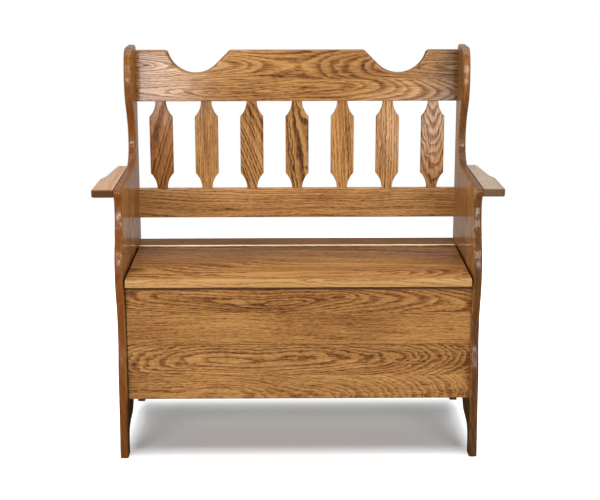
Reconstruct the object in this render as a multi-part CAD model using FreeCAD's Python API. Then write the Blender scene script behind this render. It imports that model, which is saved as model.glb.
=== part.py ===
import FreeCAD, Part
import os
from math import sqrt
from FreeCAD import Vector

# Storage settle bench in solid oak, with a hinged lid. Millimetres.
# The origin is on the floor, in the middle of the width and of the depth.
# X runs along the seat, -Y is the front, +Z is up.

# Driving dimensions: the whole bench
inner_width = 850.0            # clear width between the two side panels
overall_depth = 444.0          # side panels, front to back
overall_height = 986.0         # floor to the top of the ears
seat_height = 460.0
arm_above_seat = 218.0         # seat to the top of the arm boards

# Side panels
side_thickness = 20.0
side_edge_round = 5.0
foot_taper = 8.0               # the front edge leans back this much above the foot
foot_taper_height = 190.0
shin_setback = 25.0            # hollow of the front edge below the seat
shin_height = 318.0
bulge_above_seat = 17.0        # the front edge comes forward again here
neck_setback = 40.0            # hollow of the front edge below the arm
neck_below_arm = 50.0
nose_setback = 21.0            # front end of the arm level
nose_round = 9.0
rise_from_back = 152.0         # where the arm level starts to rise, from the back
recess_from_back = 69.0        # narrowest place between arm and ear
recess_above_arm = 60.0
ear_from_back = 130.0          # widest place of the ear
ear_below_top = 80.0
ear_crown_from_back = 87.0
ear_back_round = 16.0

# Arch between the front and the rear foot of each side panel
front_foot_length = 42.0
rear_foot_length = 28.0
foot_straight = 30.0
arch_knee_length = 132.0       # where the arch turns upward, from the front and from the back
arch_knee_height = 78.0
arch_height = 116.0
arch_edge_round = 2.0

# Back frame
rail_thickness = 22.0
crest_width = 134.5
crest_below_ear = 14.5
scoop_radius = 75.0
scoop_from_side = 157.5        # centre of a scoop from the side panel
scoop_centre_above = 15.5      # above the top edge of the crest rail
crest_edge_round = 5.0
lower_rail_above_seat = 62.0
lower_rail_width = 79.0
lower_rail_round = 3.0

# Slats
slat_count = 7
slat_end_gap = 32.15           # side panel to the first slat
slat_width = 61.5
slat_neck = 27.0
slat_shoulder_radius = 60.0
slat_thickness = 14.0
slat_edge_round = 2.0
tenon_width = 23.0
tenon_thickness = 10.0
tenon_length = 12.0

# Seat and lid
board_thickness = 20.0         # seat board, lid and arm boards
seat_board_depth = 101.3       # fixed strip along the back
lid_end_gap = 4.0
lid_front_gap = 0.0            # lid front behind the foremost line of the sides
lid_rest_gap = 0.3
lid_front_round = 6.0
small_round = 2.0
lid_batten_width = 60.0
lid_batten_thickness = 18.0
lid_batten_from_end = 131.0    # centre of a batten from the lid end
lid_batten_front_clear = 18.0  # clear of the front panel
lid_batten_back_clear = 40.0   # clear of the hinge edge

# Box
front_setback = 35.0           # front panel behind the foremost line
front_thickness = 20.0
box_bottom = 143.0
lower_board_width = 141.5      # the lower of the two front boards
back_thickness = 12.0
back_inset = 4.0               # back panel ahead of the rear line
floor_thickness = 12.0
floor_side_gap = 0.5
cleat_size = 20.0
cleat_rise = 2.0               # cleats above the lower edge of the box
block_size = 25.0
block_top_gap = 10.0

# Arm boards
arm_width = 52.5
arm_front_taper = 3.0          # the wide part narrows this much before the S
arm_middle_width = 38.5        # width behind the S
arm_back_width = 26.5
arm_wide_length = 135.0
arm_step_length = 52.0         # length of the S
arm_end_from_back = 95.0
arm_corner_round = 7.0
arm_edge_round = 4.0

# Continuous hinge
hinge_end_gap = 2.0            # hinge ends inside the lid ends
leaf_thickness = 1.5
leaf_gap = 0.4
leaf_width = 18.5
leaf_below_top = 0.5
knuckle_radius = 2.5
knuckle_count = 42
knuckle_gap = 0.3
pin_radius = 1.0
pin_clearance = 0.05
pin_above_top = 2.4            # hinge axis above the seat

# Joinery
glue_clearance = 0.1
dowel_diameter = 8.0
dowel_in_side = 12.0
dowel_in_board = 28.0
dowel_in_arm = 18.0
dowel_chamfer = 1.0
hole_end_gap = 0.8
rail_dowel_edge = 22.0
front_dowel_edge = 35.0
screw_clearance = 0.05
screw_radius = 1.8
screw_head_radius = 3.8
screw_head_height = 2.6
screw_length = 32.0
hinge_screw_radius = 1.5
hinge_screw_head = 3.0
hinge_screw_length = 16.0
hinge_screw_count = 11

# Places that follow from the sizes above
half_width = inner_width / 2
front = -overall_depth / 2
back = overall_depth / 2
arm_height = seat_height + arm_above_seat
arm_front = front + nose_setback
arm_wide_end = arm_front + arm_wide_length
arm_step_end = arm_wide_end + arm_step_length
arm_back_end = back - arm_end_from_back
seat_under = seat_height - board_thickness
hinge_y = back - seat_board_depth - leaf_gap / 2 - leaf_thickness
hinge_z = seat_height + pin_above_top
seat_board_front = hinge_y + leaf_gap / 2 + leaf_thickness
lid_back = hinge_y - leaf_gap / 2 - leaf_thickness
lid_front = front + lid_front_gap
lid_half = half_width - lid_end_gap
rail_front = back - rail_thickness
crest_top = overall_height - crest_below_ear
crest_bottom = crest_top - crest_width
scoop_centre = half_width - scoop_from_side
lower_rail_bottom = seat_height + lower_rail_above_seat
lower_rail_top = lower_rail_bottom + lower_rail_width
slat_pitch = (inner_width - 2 * slat_end_gap - slat_width) / (slat_count - 1)
front_seam = box_bottom + lower_board_width
lid_batten_centre = lid_half - lid_batten_from_end
panel_front = front + front_setback
panel_back = panel_front + front_thickness
panel_top = seat_under - lid_rest_gap
back_panel_back = back - back_inset
back_panel_front = back_panel_back - back_thickness
cleat_bottom = box_bottom + cleat_rise
floor_under = cleat_bottom + cleat_size
floor_top = floor_under + floor_thickness
block_top = seat_under - block_top_gap
dowel_radius = dowel_diameter / 2


def box(x0, x1, y0, y1, z0, z1):
    return Part.makeBox(x1 - x0, y1 - y0, z1 - z0, Vector(x0, y0, z0))


def line(start, end):
    return Part.LineSegment(start, end).toShape()


def curve(*poles):
    bezier = Part.BezierCurve()
    bezier.setPoles(list(poles))
    return bezier.toShape()


def side_point(y, z):
    return Vector(0, y, z)


def s_curve(start, end):
    # Both ends of the curve run straight up the panel.
    middle = (start.z + end.z) / 2
    return curve(start, side_point(start.y, middle), side_point(end.y, middle), end)


def rounded(shape, radius, chosen):
    # Rounds the edges whose middle point passes the test.
    edges = []
    for edge in shape.Edges:
        first, last = edge.ParameterRange
        if chosen(edge.valueAt((first + last) / 2), edge):
            edges.append(edge)
    return shape.makeFillet(radius, edges)


def is_close(a, b):
    return abs(a - b) < 0.01


def along(edge, axis):
    start = edge.Vertexes[0].Point
    end = edge.Vertexes[-1].Point
    offset = end - start
    return len(edge.Vertexes) == 2 and abs(offset.dot(axis)) > offset.Length - 0.01


def mirrored_x(shape):
    return shape.mirror(Vector(0, 0, 0), Vector(1, 0, 0))


def joined(shapes):
    return shapes[0].multiFuse(shapes[1:]).removeSplitter() if len(shapes) > 1 else shapes[0]


def without(shape, cutters):
    return shape.cut(cutters) if cutters else shape


# Dowels: each has a start on the joint plane, a direction, and its depth on each side
def dowel(point, direction, depth_behind, depth_ahead):
    length = depth_behind + depth_ahead
    start = point - direction * depth_behind
    pin = Part.makeCylinder(dowel_radius, length, start, direction)
    ends = [edge for edge in pin.Edges if isinstance(edge.Curve, Part.Circle)]
    return pin.makeChamfer(dowel_chamfer, ends)


def dowel_hole(point, direction, depth_behind, depth_ahead):
    behind = depth_behind + hole_end_gap
    length = behind + depth_ahead + hole_end_gap
    radius = dowel_radius + glue_clearance
    return Part.makeCylinder(radius, length, point - direction * behind, direction)


# Screws: countersunk head flush at the point, shank along the direction
def screw(point, direction, length, radius, head_radius, head_height, extra=0.0):
    head = Part.makeCone(head_radius + extra, radius + extra, head_height, point, direction)
    tip_length = 2 * radius
    shank_length = length - head_height - tip_length
    shank_start = point + direction * head_height
    shank = Part.makeCylinder(radius + extra, shank_length, shank_start, direction)
    tip_start = shank_start + direction * shank_length
    tip = Part.makeCone(radius + extra, 0.3 + extra, tip_length + extra, tip_start, direction)
    return head.fuse([shank, tip])


def wood_screw(place, extra=0.0):
    point, direction, length = place
    return screw(point, direction, length, screw_radius,
                 screw_head_radius, screw_head_height, extra)


def hinge_screw(place, extra=0.0):
    point, direction = place
    return screw(point, direction, hinge_screw_length, hinge_screw_radius,
                 hinge_screw_head, leaf_thickness, extra)


def both_sides(places):
    # The same places on the right-hand side and, mirrored, on the left-hand side.
    found = []
    for place in places:
        point, direction = place[0], place[1]
        left = (Vector(-point.x, point.y, point.z), Vector(-direction.x, direction.y, direction.z))
        found += [place, left + place[2:]]
    return found


# Dowel places in the joint plane of the right-hand side panel
outward = Vector(1, 0, 0)
rail_y = back - rail_thickness / 2
panel_y = panel_front + front_thickness / 2
seat_z = seat_height - board_thickness / 2
arm_z = arm_height - board_thickness / 2
seat_board_middle = (seat_board_front + back) / 2
seat_board_spread = seat_board_depth / 4


def side_joint(y, z):
    return (Vector(half_width, y, z), outward, dowel_in_board, dowel_in_side)


crest_joints = [side_joint(rail_y, crest_bottom + rail_dowel_edge),
                side_joint(rail_y, crest_top - rail_dowel_edge)]
lower_rail_joints = [side_joint(rail_y, lower_rail_bottom + rail_dowel_edge),
                     side_joint(rail_y, lower_rail_top - rail_dowel_edge)]
seat_board_joints = [side_joint(seat_board_middle - seat_board_spread, seat_z),
                     side_joint(seat_board_middle + seat_board_spread, seat_z)]
upper_front_joints = [side_joint(panel_y, front_seam + front_dowel_edge),
                      side_joint(panel_y, panel_top - front_dowel_edge)]
lower_front_joints = [side_joint(panel_y, box_bottom + front_dowel_edge),
                      side_joint(panel_y, front_seam - front_dowel_edge)]
arm_plane = half_width + side_thickness
arm_span = arm_back_end - front
arm_joints = [(Vector(arm_plane, front + arm_span * share, arm_z), outward, dowel_in_side, dowel_in_arm)
              for share in (0.15, 0.5, 0.85)]
inner_joints = (crest_joints + lower_rail_joints + seat_board_joints
                + upper_front_joints + lower_front_joints)


def dowel_group(places):
    return Part.makeCompound([dowel(*place) for place in both_sides(places)])


def dowel_holes(places):
    return [dowel_hole(*place) for place in both_sides(places)]


# Screw places
box_half = half_width - cleat_size
cleat_middle = cleat_bottom + cleat_size / 2
cleat_front_y = panel_back + cleat_size
cleat_back_y = back_panel_front - cleat_size
block_mid = block_size / 2
block_span = block_top - floor_top
cleat_screw_length = cleat_size + 0.6 * front_thickness
block_screw_length = block_size + 0.5 * front_thickness
back_screw_length = back_thickness + 0.8 * cleat_size

front_cleat_screws = [(Vector(box_half * share, cleat_front_y, cleat_middle),
                       Vector(0, -1, 0), cleat_screw_length)
                      for share in (-0.84, -0.42, 0.0, 0.42, 0.84)]
cleat_run = cleat_back_y - cleat_front_y
side_cleat_screws = both_sides([(Vector(box_half, cleat_front_y + cleat_run * share, cleat_middle),
                                 outward, cleat_screw_length)
                                for share in (0.12, 0.5, 0.88)])

# In the front blocks the screws pass midway between the dowels of each front board.
lower_middle = (box_bottom + front_seam) / 2
upper_middle = (front_seam + panel_top) / 2
front_block_screws = both_sides(
    [(Vector(half_width - block_mid, panel_back + block_size, z), Vector(0, -1, 0), block_screw_length)
     for z in (lower_middle, upper_middle)]
    + [(Vector(half_width - block_size, panel_back + block_mid, z), outward, block_screw_length)
       for z in (lower_middle + block_size, front_seam, upper_middle - block_size)])
back_block_side_screws = both_sides(
    [(Vector(half_width - block_size, back_panel_front - block_mid, floor_top + block_span * share),
      outward, block_screw_length) for share in (0.12, 0.62, 0.92)])
back_screws = both_sides(
    [(Vector(half_width - block_mid, back_panel_back, floor_top + block_span * share),
      Vector(0, -1, 0), back_screw_length) for share in (0.22, 0.52, 0.82)]) + [
    (Vector(box_half * share, back_panel_back, cleat_middle), Vector(0, -1, 0), back_screw_length)
    for share in (-0.8, -0.4, 0.0, 0.4, 0.8)]
cleat_screw_places = front_cleat_screws + side_cleat_screws
block_screw_places = front_block_screws + back_block_side_screws
inside_side_screws = side_cleat_screws + front_block_screws + back_block_side_screws


def screw_group(places):
    return Part.makeCompound([wood_screw(place) for place in places])


def screw_holes(places):
    return [wood_screw(place, screw_clearance) for place in places]


# Side panels
def side_outline():
    foot_toe = side_point(front, 0)
    foot_top = side_point(front + foot_taper, foot_taper_height)
    shin = side_point(front + shin_setback, shin_height)
    bulge = side_point(front, seat_height + bulge_above_seat)
    neck = side_point(front + neck_setback, arm_height - neck_below_arm)
    nose = side_point(front + nose_setback, arm_height - nose_round)
    nose_top = side_point(front + nose_setback + nose_round, arm_height)
    rise = side_point(back - rise_from_back, arm_height)
    recess = side_point(back - recess_from_back, arm_height + recess_above_arm)
    ear = side_point(back - ear_from_back, overall_height - ear_below_top)
    crown = side_point(back - ear_crown_from_back, overall_height)
    crown_end = side_point(back - ear_back_round, overall_height)
    back_top = side_point(back, overall_height - ear_back_round)
    heel = side_point(back, 0)

    taper = side_point(foot_taper / foot_taper_height, 1) * (foot_taper_height / 3)
    rise_run = recess.y - rise.y
    ear_run = crown.y - ear.y
    ear_climb = crown.z - ear.z
    nose_arc = ear_back_round * (1 - sqrt(0.5))
    round_middle = side_point(back - nose_arc, overall_height - nose_arc)
    edges = [
        curve(foot_toe, foot_toe + side_point(taper.y, taper.z),
              side_point(foot_top.y, foot_top.z - foot_taper_height / 3), foot_top),
        s_curve(foot_top, shin),
        s_curve(shin, bulge),
        s_curve(bulge, neck),
        curve(neck, side_point(neck.y, neck.z + 0.62 * (nose.z - neck.z)),
              side_point(nose.y, nose.z - 0.3 * (nose.z - neck.z)), nose),
        curve(nose, side_point(nose.y, nose.z + 0.55 * nose_round),
              side_point(nose.y + 0.45 * nose_round, nose_top.z), nose_top),
        line(nose_top, rise),
        curve(rise, side_point(rise.y + 0.72 * rise_run, rise.z),
              side_point(recess.y, rise.z + 0.45 * recess_above_arm), recess),
        s_curve(recess, ear),
        curve(ear, side_point(ear.y, ear.z + 0.55 * ear_climb),
              side_point(ear.y + 0.3 * ear_run, crown.z), crown),
        line(crown, crown_end),
        Part.Arc(crown_end, round_middle, back_top).toShape(),
        line(back_top, heel),
    ]
    return edges + arch_edges()


def arch_half(sign, foot_length):
    # From the floor at one foot up to the crown of the arch, on the -Y or the +Y side.
    reach = overall_depth / 2

    def at(length, z):
        return side_point(sign * (reach - length), z)

    foot = at(foot_length, 0)
    ankle = at(foot_length, foot_straight)
    knee = at(arch_knee_length, arch_knee_height)
    crown = side_point(0, arch_height)
    toward = arch_knee_length - foot_length
    lift = arch_height - arch_knee_height
    return [
        line(foot, ankle),
        curve(ankle, at(foot_length, ankle.z + 0.95 * (knee.z - ankle.z)),
              at(foot_length + 0.4 * toward, knee.z - 0.3 * lift), knee),
        curve(knee, at(arch_knee_length + 0.3 * toward, knee.z + 0.35 * lift),
              side_point(sign * 0.3 * reach, arch_height), crown),
    ]


def arch_edges():
    return arch_half(-1, front_foot_length) + arch_half(1, rear_foot_length) + [
        line(side_point(front + front_foot_length, 0), side_point(front, 0)),
        line(side_point(back, 0), side_point(back - rear_foot_length, 0))]


def side_panel():
    # Right-hand panel, from its inner face outward.
    wire = Part.Wire(Part.__sortEdges__(side_outline()))
    face = Part.Face(wire)
    face.translate(Vector(half_width, 0, 0))
    panel = face.extrude(Vector(side_thickness, 0, 0))
    faces_x = (half_width, half_width + side_thickness)

    def on_face(point):
        return is_close(point.x, faces_x[0]) or is_close(point.x, faces_x[1])

    def in_arch(point):
        between = front + front_foot_length - 0.01 < point.y < back - rear_foot_length + 0.01
        return between and point.z < arch_height + 0.01

    def shaped(point, edge):
        straight_back = is_close(point.y, back)
        return on_face(point) and point.z > 0.01 and not in_arch(point) and not straight_back

    def arch(point, edge):
        return on_face(point) and point.z > 0.01 and in_arch(point)

    panel = rounded(panel, side_edge_round, shaped)
    panel = rounded(panel, arch_edge_round, arch)
    return panel


def side_pair():
    cutters = [dowel_hole(*place) for place in inner_joints + arm_joints]
    right_screws = [place for place in inside_side_screws if place[0].x > 0 and place[1].x > 0.5]
    cutters += screw_holes(right_screws)
    right = without(side_panel(), cutters)
    return mirrored_x(right), right


# Back frame
def crest_rail():
    scoop_z = crest_top + scoop_centre_above
    slope_x = scoop_centre - scoop_radius * sqrt(0.5)
    slope_z = scoop_z - scoop_radius * sqrt(0.5)
    ramp_x = slope_x - (crest_top - slope_z)
    edge_x = scoop_centre + sqrt(scoop_radius ** 2 - scoop_centre_above ** 2)
    bottom_z = scoop_z - scoop_radius

    def at(x, z):
        return Vector(x, rail_front, z)

    def scoop(sign):
        arc = Part.Arc(at(sign * slope_x, slope_z), at(sign * scoop_centre, bottom_z),
                       at(sign * edge_x, crest_top)).toShape()
        return [line(at(sign * ramp_x, crest_top), at(sign * slope_x, slope_z)), arc,
                line(at(sign * edge_x, crest_top), at(sign * half_width, crest_top)),
                line(at(sign * half_width, crest_top), at(sign * half_width, crest_bottom))]

    edges = scoop(1) + scoop(-1)
    edges += [line(at(-ramp_x, crest_top), at(ramp_x, crest_top)),
              line(at(-half_width, crest_bottom), at(half_width, crest_bottom))]
    face = Part.Face(Part.Wire(Part.__sortEdges__(edges)))
    rail = face.extrude(Vector(0, rail_thickness, 0))

    def scoop_corner(point, edge):
        inner = is_close(abs(point.x), ramp_x) or is_close(abs(point.x), edge_x)
        return inner and is_close(point.z, crest_top) and along(edge, Vector(0, 1, 0))

    def top_edge(point, edge):
        on_face = is_close(point.y, rail_front) or is_close(point.y, back)
        return on_face and point.z > bottom_z - 1 and abs(point.x) < half_width - 0.01

    def lower_edge(point, edge):
        return is_close(point.z, crest_bottom) and along(edge, Vector(1, 0, 0))

    rail = rounded(rail, 2 * crest_edge_round, scoop_corner)
    rail = rounded(rail, crest_edge_round, top_edge)
    rail = rounded(rail, small_round, lower_edge)
    mortises = [slat_tenon(index, crest_bottom, 1, glue_clearance) for index in range(slat_count)]
    return without(rail, mortises + dowel_holes(crest_joints))


def lower_back_rail():
    rail = box(-half_width, half_width, rail_front, back, lower_rail_bottom, lower_rail_top)
    rail = rounded(rail, lower_rail_round, lambda point, edge: along(edge, Vector(1, 0, 0)))
    mortises = [slat_tenon(index, lower_rail_top, -1, glue_clearance) for index in range(slat_count)]
    return without(rail, mortises + dowel_holes(lower_rail_joints))


def slat_x(index):
    return (index - (slat_count - 1) / 2) * slat_pitch


def slat_tenon(index, z, upward, extra=0.0):
    # Stub tenon beyond the rail edge at height z; extra makes the mortise for it.
    half_x = tenon_width / 2 + extra
    half_y = tenon_thickness / 2 + extra
    length = tenon_length + (hole_end_gap if extra else 0.0)
    low = z if upward > 0 else z - length
    x = slat_x(index)
    return box(x - half_x, x + half_x, rail_y - half_y, rail_y + half_y, low, low + length)


def slat(index):
    # The neck flares in a concave arc up to an angular shoulder at each end.
    x = slat_x(index)
    neck = slat_neck / 2
    wide = slat_width / 2
    radius = slat_shoulder_radius
    flare = wide - neck
    shoulder = sqrt(radius ** 2 - (radius - flare) ** 2)
    half_rise = shoulder / 2
    middle = neck + radius - sqrt(radius ** 2 - half_rise ** 2)

    def at(side, z):
        return Vector(x + side, rail_y - slat_thickness / 2, z)

    edges = []
    for sign in (-1, 1):
        low, high = lower_rail_top, crest_bottom
        edges += [
            Part.Arc(at(sign * neck, low), at(sign * middle, low + half_rise),
                     at(sign * wide, low + shoulder)).toShape(),
            line(at(sign * wide, low + shoulder), at(sign * wide, high - shoulder)),
            Part.Arc(at(sign * wide, high - shoulder), at(sign * middle, high - half_rise),
                     at(sign * neck, high)).toShape()]
    edges += [line(at(-neck, low), at(neck, low)), line(at(-neck, high), at(neck, high))]
    face = Part.Face(Part.Wire(Part.__sortEdges__(edges)))
    body = face.extrude(Vector(0, slat_thickness, 0))

    def long_edge(point, edge):
        on_face = is_close(abs(point.y - rail_y), slat_thickness / 2)
        return on_face and lower_rail_top + 0.01 < point.z < crest_bottom - 0.01

    body = rounded(body, slat_edge_round, long_edge)
    return joined([body, slat_tenon(index, lower_rail_top, -1), slat_tenon(index, crest_bottom, 1)])


# Seat
def rear_seat_board():
    board = box(-half_width, half_width, seat_board_front, back, seat_under, seat_height)

    def back_top(point, edge):
        return is_close(point.y, back) and along(edge, Vector(1, 0, 0))

    board = rounded(board, small_round, back_top)
    holes = dowel_holes(seat_board_joints)
    holes += [hinge_screw(place, screw_clearance) for place in fixed_hinge_screws]
    return without(board, holes)


def lid_panel():
    board = box(-lid_half, lid_half, lid_front, lid_back, seat_under, seat_height)

    def front_top(point, edge):
        return is_close(point.y, lid_front) and is_close(point.z, seat_height)

    def others(point, edge):
        front_low = is_close(point.y, lid_front) and is_close(point.z, seat_under)
        end_top = is_close(abs(point.x), lid_half) and is_close(point.z, seat_height)
        return front_low or (end_top and along(edge, Vector(0, 1, 0)))

    board = rounded(board, lid_front_round, front_top)
    board = rounded(board, small_round, others)
    holes = screw_holes(batten_screws)
    holes += [hinge_screw(place, screw_clearance) for place in lid_hinge_screws]
    return without(board, holes)


batten_front = panel_back + lid_batten_front_clear
batten_back = lid_back - lid_batten_back_clear
batten_under = seat_under - lid_batten_thickness
batten_screw_length = lid_batten_thickness + 0.6 * board_thickness
batten_run = batten_back - batten_front
batten_screws = both_sides([(Vector(lid_batten_centre, batten_front + batten_run * share, batten_under),
                             Vector(0, 0, 1), batten_screw_length) for share in (0.12, 0.5, 0.88)])


def lid_batten():
    x0 = lid_batten_centre - lid_batten_width / 2
    x1 = lid_batten_centre + lid_batten_width / 2
    batten = box(x0, x1, batten_front, batten_back, batten_under, seat_under)
    batten = rounded(batten, 2 * small_round, lambda point, edge: is_close(point.z, batten_under))
    return without(batten, screw_holes([place for place in batten_screws if place[0].x > 0]))


# Continuous hinge: two upright leaves between the lid and the rear board
hinge_half = lid_half - hinge_end_gap
leaf_top = seat_height - leaf_below_top
leaf_bottom = leaf_top - leaf_width
hinge_screw_z = (leaf_top + leaf_bottom) / 2 - 0.5
hinge_screw_pitch = 2 * hinge_half / hinge_screw_count
hinge_screw_x = [(index - (hinge_screw_count - 1) / 2) * hinge_screw_pitch
                 for index in range(hinge_screw_count)]
fixed_hinge_screws = [(Vector(x, seat_board_front - leaf_thickness, hinge_screw_z), Vector(0, 1, 0))
                      for x in hinge_screw_x]
lid_hinge_screws = [(Vector(x, lid_back + leaf_thickness, hinge_screw_z), Vector(0, -1, 0))
                    for x in hinge_screw_x]


def hinge_leaf(face_y, sign, first, places):
    # sign is +1 for the leaf on the rear board and -1 for the leaf on the lid.
    near = min(face_y, face_y - sign * leaf_thickness)
    leaf = box(-hinge_half, hinge_half, near, near + leaf_thickness, leaf_bottom, leaf_top)
    pitch = 2 * hinge_half / knuckle_count
    parts = [leaf]
    for index in range(first, knuckle_count, 2):
        x0 = -hinge_half + index * pitch + knuckle_gap / 2
        length = pitch - knuckle_gap
        barrel = Part.makeCylinder(knuckle_radius, length, Vector(x0, hinge_y, hinge_z), outward)
        web_top = hinge_z - pin_radius - pin_clearance - 0.15
        web = box(x0, x0 + length, near, near + leaf_thickness, leaf_top - 1, web_top)
        parts += [barrel, web]
    leaf = joined(parts)
    bore = Part.makeCylinder(pin_radius + pin_clearance, 2 * hinge_half + 2,
                             Vector(-hinge_half - 1, hinge_y, hinge_z), outward)
    return without(leaf, [bore] + [hinge_screw(place, screw_clearance) for place in places])


def hinge_pin():
    return Part.makeCylinder(pin_radius, 2 * hinge_half, Vector(-hinge_half, hinge_y, hinge_z), outward)


# Box
def front_board(low, high, joints, screws):
    board = box(-half_width, half_width, panel_front, panel_back, low, high)

    def bottom_front(point, edge):
        return is_close(point.z, box_bottom) and is_close(point.y, panel_front)

    if low == box_bottom:
        board = rounded(board, small_round, bottom_front)
    return without(board, dowel_holes(joints) + screw_holes(screws))


def back_panel():
    panel = box(-half_width, half_width, back_panel_front, back_panel_back, box_bottom, seat_under)
    return without(panel, screw_holes(back_screws))


def bottom_panel():
    half = half_width - floor_side_gap
    return box(-half, half, panel_back + floor_side_gap, back_panel_front - floor_side_gap,
               floor_under, floor_top)


def bottom_cleats():
    front_cleat = box(-half_width, half_width, panel_back, cleat_front_y, cleat_bottom, floor_under)
    back_cleat = box(-half_width, half_width, cleat_back_y, back_panel_front, cleat_bottom, floor_under)
    right = box(box_half, half_width, cleat_front_y, cleat_back_y, cleat_bottom, floor_under)
    right = without(right, screw_holes([place for place in side_cleat_screws if place[0].x > 0]))
    return {
        "bottom_cleat_front": without(front_cleat, screw_holes(front_cleat_screws)),
        "bottom_cleat_back": without(back_cleat, screw_holes(back_screws)),
        "bottom_cleat_right": right,
        "bottom_cleat_left": mirrored_x(right),
    }


def corner_block(y0, screws):
    block = box(half_width - block_size, half_width, y0, y0 + block_size, floor_top, block_top)
    return without(block, screw_holes([place for place in screws if place[0].x > 0]))


# Arm boards
def arm():
    # Wide at the front, then an S to the narrow part, butted to the side panel.
    inner = half_width + side_thickness
    wide = inner + arm_width
    before_step = wide - arm_front_taper
    after_step = inner + arm_middle_width
    narrow = inner + arm_back_width

    def at(x, y):
        return Vector(x, y, arm_height - board_thickness)

    taper_in = arm_front_taper / (arm_wide_end - arm_front)
    taper_out = (after_step - narrow) / (arm_back_end - arm_step_end)
    reach = 0.45 * (arm_step_end - arm_wide_end)
    edges = [
        line(at(inner, arm_front), at(wide, arm_front)),
        line(at(wide, arm_front), at(before_step, arm_wide_end)),
        curve(at(before_step, arm_wide_end), at(before_step - taper_in * reach, arm_wide_end + reach),
              at(after_step + taper_out * reach, arm_step_end - reach), at(after_step, arm_step_end)),
        line(at(after_step, arm_step_end), at(narrow, arm_back_end)),
        line(at(narrow, arm_back_end), at(inner, arm_back_end)),
        line(at(inner, arm_back_end), at(inner, arm_front)),
    ]
    board = Part.Face(Part.Wire(Part.__sortEdges__(edges))).extrude(Vector(0, 0, board_thickness))

    def outer_corner(point, edge):
        at_end = is_close(point.y, arm_front) or is_close(point.y, arm_back_end)
        return at_end and point.x > inner + 1 and along(edge, Vector(0, 0, 1))

    def rim(point, edge):
        level = is_close(point.z, arm_height) or is_close(point.z, arm_height - board_thickness)
        return level and point.x > inner + 0.01

    board = rounded(board, arm_corner_round, outer_corner)
    board = rounded(board, arm_edge_round, rim)
    return without(board, [dowel_hole(*place) for place in arm_joints])


def build():
    left, right = side_pair()
    parts = {
        "side_panel_left": left,
        "side_panel_right": right,
        "crest_rail": crest_rail(),
        "lower_back_rail": lower_back_rail(),
        "rear_seat_board": rear_seat_board(),
        "front_board_upper": front_board(front_seam, panel_top, upper_front_joints, front_block_screws),
        "front_board_lower": front_board(box_bottom, front_seam, lower_front_joints,
                                         front_block_screws + front_cleat_screws),
        "back_panel": back_panel(),
        "bottom_panel": bottom_panel(),
        "lid_panel": lid_panel(),
        "hinge_leaf_fixed": hinge_leaf(seat_board_front, 1, 0, fixed_hinge_screws),
        "hinge_leaf_lid": hinge_leaf(lid_back, -1, 1, lid_hinge_screws),
        "hinge_pin": hinge_pin(),
        "hinge_screws_fixed": Part.makeCompound([hinge_screw(place) for place in fixed_hinge_screws]),
        "hinge_screws_lid": Part.makeCompound([hinge_screw(place) for place in lid_hinge_screws]),
        "cleat_screws": screw_group(cleat_screw_places),
        "block_screws": screw_group(block_screw_places),
        "back_panel_screws": screw_group(back_screws),
        "lid_batten_screws": screw_group(batten_screws),
        "crest_rail_dowels": dowel_group(crest_joints),
        "lower_rail_dowels": dowel_group(lower_rail_joints),
        "seat_board_dowels": dowel_group(seat_board_joints),
        "front_board_dowels": dowel_group(upper_front_joints + lower_front_joints),
        "arm_dowels": dowel_group(arm_joints),
    }
    for index in range(slat_count):
        parts["slat_%d" % (index + 1)] = slat(index)
    parts.update(bottom_cleats())
    pairs = {
        "corner_block_front": corner_block(panel_back, front_block_screws),
        "corner_block_back": corner_block(back_panel_front - block_size,
                                          back_block_side_screws + back_screws),
        "arm": arm(),
        "lid_batten": lid_batten(),
    }
    for name, shape in pairs.items():
        parts[name + "_right"] = shape
        parts[name + "_left"] = mirrored_x(shape)
    return parts


os.makedirs("parts", exist_ok=True)
for node, shape in build().items():
    box_of = shape.BoundBox
    print("%-28s %2d solids  %7.1f x %6.1f x %6.1f  %s" % (
        node, len(shape.Solids), box_of.XLength, box_of.YLength, box_of.ZLength, shape.isValid()))
    shape.exportStep("parts/" + node + ".step")
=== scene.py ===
# %% [markdown]
# # The settle bench, from frame to finish
# The bench comes in as a imported model in metres, and this script gives it its looks: stained
# and lacquered oak, a brass hinge, and the pale studio it is photographed in. The first step
# only brings the model in and notes how large it is.

# %% Load the frame
from math import radians
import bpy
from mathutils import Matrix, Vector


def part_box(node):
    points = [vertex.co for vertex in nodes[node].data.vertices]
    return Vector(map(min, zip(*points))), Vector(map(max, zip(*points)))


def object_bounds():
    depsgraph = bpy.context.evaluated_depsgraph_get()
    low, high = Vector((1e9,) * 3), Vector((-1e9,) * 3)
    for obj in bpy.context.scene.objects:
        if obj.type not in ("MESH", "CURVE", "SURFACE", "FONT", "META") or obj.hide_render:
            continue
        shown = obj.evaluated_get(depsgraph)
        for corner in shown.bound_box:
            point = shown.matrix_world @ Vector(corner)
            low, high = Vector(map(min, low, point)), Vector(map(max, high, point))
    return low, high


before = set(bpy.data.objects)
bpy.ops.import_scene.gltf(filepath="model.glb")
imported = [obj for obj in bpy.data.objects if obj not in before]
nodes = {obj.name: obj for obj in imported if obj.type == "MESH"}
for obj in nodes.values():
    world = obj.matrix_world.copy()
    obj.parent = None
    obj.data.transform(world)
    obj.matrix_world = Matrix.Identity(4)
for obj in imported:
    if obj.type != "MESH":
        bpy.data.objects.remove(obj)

from types import SimpleNamespace
import bpy
from mathutils import Vector

cad_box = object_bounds()
print("bench size in metres:", [round(b - a, 4) for a, b in zip(*cad_box)])

# %% [markdown]
# ## The camera
# The photograph was taken from in front and a little above, with a long lens, so the uprights
# lean in only slightly. A lens is described by its length on a 36 mm wide sensor: the longer
# it is, the flatter the picture. The camera could be aimed with a Track To constraint, but
# fixed angles are easier to read and to repeat.

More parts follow.
